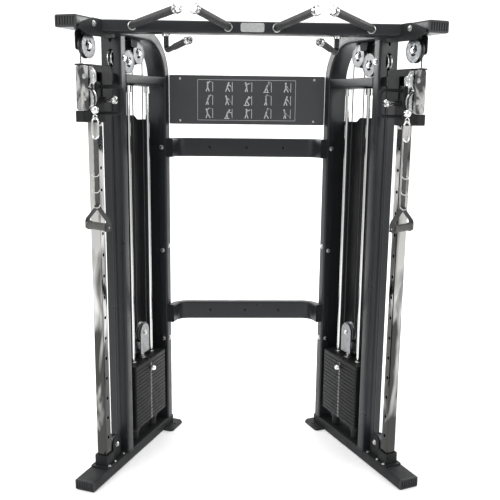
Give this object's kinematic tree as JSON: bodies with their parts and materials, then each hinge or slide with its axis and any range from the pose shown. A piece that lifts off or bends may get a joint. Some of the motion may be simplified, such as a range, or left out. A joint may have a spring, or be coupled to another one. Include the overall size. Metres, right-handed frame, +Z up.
{
  "type": "functional trainer",
  "caption": "Dual-stack cable functional trainer with two toed-in towers, height-adjustable swivel pulleys, pull-up handles on the top beam and two crossbars.",
  "frame": {"origin": "bottom centre of the whole machine on the floor", "axes": "+Z up; the front, where the user stands, faces -Y; +X is to the right when facing the machine from the front"},
  "size_m": [1.5906, 1.0002, 2.1021],
  "materials": {
    "black_paint": "satin black powder coat",
    "chrome": "bright",
    "steel": "zinc plated",
    "aluminium": "machined",
    "cast_black": "black",
    "rubber": "matte",
    "cable": "smooth sheath",
    "webbing": "woven nylon",
    "placard": "satin dark grey"
  },
  "bodies": {
    "frame": {"top_beam": "black_paint", "lower_crossbar": "black_paint", "upper_crossbar": "black_paint", "placard": "placard", "left_base_frame": "black_paint", "left_arch_frame": "black_paint", "left_chrome_column": "chrome", "left_side_shroud": "black_paint", "left_guide_rods": "chrome", "left_resting_plates": "cast_black", "left_pulley_cable_upper": "cable", "left_pulley_cable_lower": "cable", "left_trolley_cable_upper": "cable", "left_trolley_cable_lower": "cable", "left_stack_cable": "cable", "right_base_frame": "black_paint", "right_arch_frame": "black_paint", "right_chrome_column": "chrome", "right_side_shroud": "black_paint", "right_guide_rods": "chrome", "right_resting_plates": "cast_black", "right_pulley_cable_upper": "cable", "right_pulley_cable_lower": "cable", "right_trolley_cable_upper": "cable", "right_trolley_cable_lower": "cable", "right_stack_cable": "cable"},
    "left_stack": {"left_lifted_stack": "cast_black"},
    "left_selector_pin": {"left_selector_pin": "chrome"},
    "left_floating_pulley": {"left_floating_pulley": "aluminium"},
    "left_tower_pulley_front": {"left_tower_pulley_front": "aluminium"},
    "left_tower_pulley_rear": {"left_tower_pulley_rear": "aluminium"},
    "left_window_pulley": {"left_window_pulley": "aluminium"},
    "left_top_pulley": {"left_top_pulley": "aluminium"},
    "left_low_pulley": {"left_low_pulley": "aluminium"},
    "left_trolley": {"left_trolley": "black_paint"},
    "left_pop_pin": {"left_pop_pin": "chrome"},
    "left_swivel": {"left_swivel_frame": "steel", "left_handle_cable": "cable"},
    "left_swivel_pulley_upper": {"left_swivel_pulley_upper": "aluminium"},
    "left_swivel_pulley_lower": {"left_swivel_pulley_lower": "aluminium"},
    "left_cable_end": {"left_cable_stop": "chrome"},
    "left_strap": {"left_handle_strap": "webbing"},
    "left_grip": {"left_handle_grip": "rubber"},
    "right_stack": {"right_lifted_stack": "cast_black"},
    "right_selector_pin": {"right_selector_pin": "chrome"},
    "right_floating_pulley": {"right_floating_pulley": "aluminium"},
    "right_tower_pulley_front": {"right_tower_pulley_front": "aluminium"},
    "right_tower_pulley_rear": {"right_tower_pulley_rear": "aluminium"},
    "right_window_pulley": {"right_window_pulley": "aluminium"},
    "right_top_pulley": {"right_top_pulley": "aluminium"},
    "right_low_pulley": {"right_low_pulley": "aluminium"},
    "right_trolley": {"right_trolley": "black_paint"},
    "right_pop_pin": {"right_pop_pin": "chrome"},
    "right_swivel": {"right_swivel_frame": "steel", "right_handle_cable": "cable"},
    "right_swivel_pulley_upper": {"right_swivel_pulley_upper": "aluminium"},
    "right_swivel_pulley_lower": {"right_swivel_pulley_lower": "aluminium"},
    "right_cable_end": {"right_cable_stop": "chrome"},
    "right_strap": {"right_handle_strap": "webbing"},
    "right_grip": {"right_handle_grip": "rubber"}
  },
  "joints": [
    {"name": "left_stack_lift", "type": "slide", "parent": "frame", "child": "left_stack", "axis": [0, 0, 1], "range_m": [0, 0.5], "deforming": ["left_stack_cable"]},
    {"name": "left_selector_pin_pull", "type": "slide", "parent": "left_stack", "child": "left_selector_pin", "axis": [0.9272, -0.3746, 0], "range_m": [0, 0.07]},
    {"name": "left_trolley_height", "type": "slide", "parent": "frame", "child": "left_trolley", "axis": [0, 0, 1], "range_m": [-1.067, 0], "deforming": ["left_trolley_cable_upper", "left_trolley_cable_lower"]},
    {"name": "left_pop_pin_pull", "type": "slide", "parent": "left_trolley", "child": "left_pop_pin", "axis": [0.9272, -0.3746, 0], "range_m": [-0.0115, 0.0105]},
    {"name": "left_swivel_turn", "type": "hinge", "parent": "left_trolley", "child": "left_swivel", "pos_m": [-0.71122, -0.23661, 1.834], "axis": [0, 0, 1], "range_deg": [-150, 5]},
    {"name": "left_handle_pull", "type": "slide", "parent": "left_swivel", "child": "left_cable_end", "axis": [0, 0, -1], "range_m": [0, 1], "deforming": ["left_handle_cable"]},
    {"name": "left_strap_swing", "type": "hinge", "parent": "left_cable_end", "child": "left_strap", "pos_m": [-0.65133, -0.2834, 1.649], "axis": [-0.6157, -0.788, 0], "range_deg": [-5, 75]},
    {"name": "left_grip_spin", "type": "hinge", "parent": "left_strap", "child": "left_grip", "pos_m": [-0.65133, -0.2834, 1.213], "axis": [0.788, -0.6157, 0], "continuous": true},
    {"name": "left_floating_pulley_spin", "type": "hinge", "parent": "left_stack", "child": "left_floating_pulley", "pos_m": [-0.53084, 0.20983, 0.588], "axis": [0.9272, -0.3746, 0], "continuous": true},
    {"name": "left_top_pulley_spin", "type": "hinge", "parent": "frame", "child": "left_top_pulley", "pos_m": [-0.69305, -0.19164, 1.962], "axis": [0.9272, -0.3746, 0], "continuous": true},
    {"name": "left_tower_pulley_rear_spin", "type": "hinge", "parent": "frame", "child": "left_tower_pulley_rear", "pos_m": [-0.53084, 0.20983, 1.962], "axis": [0.9272, -0.3746, 0], "continuous": true},
    {"name": "left_tower_pulley_front_spin", "type": "hinge", "parent": "frame", "child": "left_tower_pulley_front", "pos_m": [-0.56718, 0.1199, 1.916], "axis": [0.9272, -0.3746, 0], "continuous": true},
    {"name": "left_window_pulley_spin", "type": "hinge", "parent": "frame", "child": "left_window_pulley", "pos_m": [-0.60989, 0.0142, 1.9245], "axis": [0.9272, -0.3746, 0], "continuous": true},
    {"name": "left_low_pulley_spin", "type": "hinge", "parent": "frame", "child": "left_low_pulley", "pos_m": [-0.6436, -0.06925, 0.115], "axis": [0.9272, -0.3746, 0], "continuous": true},
    {"name": "left_swivel_pulley_upper_spin", "type": "hinge", "parent": "left_swivel", "child": "left_swivel_pulley_upper", "pos_m": [-0.68127, -0.26, 1.834], "axis": [-0.6157, -0.788, 0], "continuous": true},
    {"name": "left_swivel_pulley_lower_spin", "type": "hinge", "parent": "left_swivel", "child": "left_swivel_pulley_lower", "pos_m": [-0.68127, -0.26, 1.746], "axis": [-0.6157, -0.788, 0], "continuous": true},
    {"name": "right_stack_lift", "type": "slide", "parent": "frame", "child": "right_stack", "axis": [0, 0, 1], "range_m": [0, 0.5], "deforming": ["right_stack_cable"]},
    {"name": "right_selector_pin_pull", "type": "slide", "parent": "right_stack", "child": "right_selector_pin", "axis": [-0.9272, -0.3746, 0], "range_m": [0, 0.07]},
    {"name": "right_trolley_height", "type": "slide", "parent": "frame", "child": "right_trolley", "axis": [0, 0, 1], "range_m": [-1.067, 0], "deforming": ["right_trolley_cable_upper", "right_trolley_cable_lower"]},
    {"name": "right_pop_pin_pull", "type": "slide", "parent": "right_trolley", "child": "right_pop_pin", "axis": [-0.9272, -0.3746, 0], "range_m": [-0.0115, 0.0105]},
    {"name": "right_swivel_turn", "type": "hinge", "parent": "right_trolley", "child": "right_swivel", "pos_m": [0.71122, -0.23661, 1.834], "axis": [0, 0, -1], "range_deg": [-150, 5]},
    {"name": "right_handle_pull", "type": "slide", "parent": "right_swivel", "child": "right_cable_end", "axis": [0, 0, -1], "range_m": [0, 1], "deforming": ["right_handle_cable"]},
    {"name": "right_strap_swing", "type": "hinge", "parent": "right_cable_end", "child": "right_strap", "pos_m": [0.65133, -0.2834, 1.649], "axis": [-0.6157, 0.788, 0], "range_deg": [-5, 75]},
    {"name": "right_grip_spin", "type": "hinge", "parent": "right_strap", "child": "right_grip", "pos_m": [0.65133, -0.2834, 1.213], "axis": [0.788, 0.6157, 0], "continuous": true},
    {"name": "right_floating_pulley_spin", "type": "hinge", "parent": "right_stack", "child": "right_floating_pulley", "pos_m": [0.53084, 0.20983, 0.588], "axis": [0.9272, 0.3746, 0], "continuous": true},
    {"name": "right_top_pulley_spin", "type": "hinge", "parent": "frame", "child": "right_top_pulley", "pos_m": [0.69305, -0.19164, 1.962], "axis": [0.9272, 0.3746, 0], "continuous": true},
    {"name": "right_tower_pulley_rear_spin", "type": "hinge", "parent": "frame", "child": "right_tower_pulley_rear", "pos_m": [0.53084, 0.20983, 1.962], "axis": [0.9272, 0.3746, 0], "continuous": true},
    {"name": "right_tower_pulley_front_spin", "type": "hinge", "parent": "frame", "child": "right_tower_pulley_front", "pos_m": [0.56718, 0.1199, 1.916], "axis": [0.9272, 0.3746, 0], "continuous": true},
    {"name": "right_window_pulley_spin", "type": "hinge", "parent": "frame", "child": "right_window_pulley", "pos_m": [0.60989, 0.0142, 1.9245], "axis": [0.9272, 0.3746, 0], "continuous": true},
    {"name": "right_low_pulley_spin", "type": "hinge", "parent": "frame", "child": "right_low_pulley", "pos_m": [0.6436, -0.06925, 0.115], "axis": [0.9272, 0.3746, 0], "continuous": true},
    {"name": "right_swivel_pulley_upper_spin", "type": "hinge", "parent": "right_swivel", "child": "right_swivel_pulley_upper", "pos_m": [0.68127, -0.26, 1.834], "axis": [-0.6157, 0.788, 0], "continuous": true},
    {"name": "right_swivel_pulley_lower_spin", "type": "hinge", "parent": "right_swivel", "child": "right_swivel_pulley_lower", "pos_m": [0.68127, -0.26, 1.746], "axis": [-0.6157, 0.788, 0], "continuous": true}
  ],
  "couplings": [
    {"joint": "left_floating_pulley_spin", "follows": "left_stack_lift", "rad_per_m": 20.619},
    {"joint": "left_top_pulley_spin", "follows": "left_stack_lift", "rad_per_m": 41.237},
    {"joint": "left_tower_pulley_rear_spin", "follows": "left_stack_lift", "rad_per_m": 41.237},
    {"joint": "left_tower_pulley_front_spin", "follows": "left_trolley_height", "rad_per_m": 20.619},
    {"joint": "left_window_pulley_spin", "follows": "left_trolley_height", "rad_per_m": 25},
    {"joint": "left_low_pulley_spin", "follows": "left_trolley_height", "rad_per_m": -25},
    {"joint": "left_swivel_pulley_upper_spin", "follows": "left_stack_lift", "rad_per_m": 52.632},
    {"joint": "left_swivel_pulley_lower_spin", "follows": "left_stack_lift", "rad_per_m": -52.632},
    {"joint": "left_handle_pull", "follows": "left_stack_lift", "ratio": 2},
    {"joint": "right_floating_pulley_spin", "follows": "right_stack_lift", "rad_per_m": 20.619},
    {"joint": "right_top_pulley_spin", "follows": "right_stack_lift", "rad_per_m": 41.237},
    {"joint": "right_tower_pulley_rear_spin", "follows": "right_stack_lift", "rad_per_m": 41.237},
    {"joint": "right_tower_pulley_front_spin", "follows": "right_trolley_height", "rad_per_m": 20.619},
    {"joint": "right_window_pulley_spin", "follows": "right_trolley_height", "rad_per_m": 25},
    {"joint": "right_low_pulley_spin", "follows": "right_trolley_height", "rad_per_m": -25},
    {"joint": "right_swivel_pulley_upper_spin", "follows": "right_stack_lift", "rad_per_m": 52.632},
    {"joint": "right_swivel_pulley_lower_spin", "follows": "right_stack_lift", "rad_per_m": -52.632},
    {"joint": "right_handle_pull", "follows": "right_stack_lift", "ratio": 2}
  ]
}
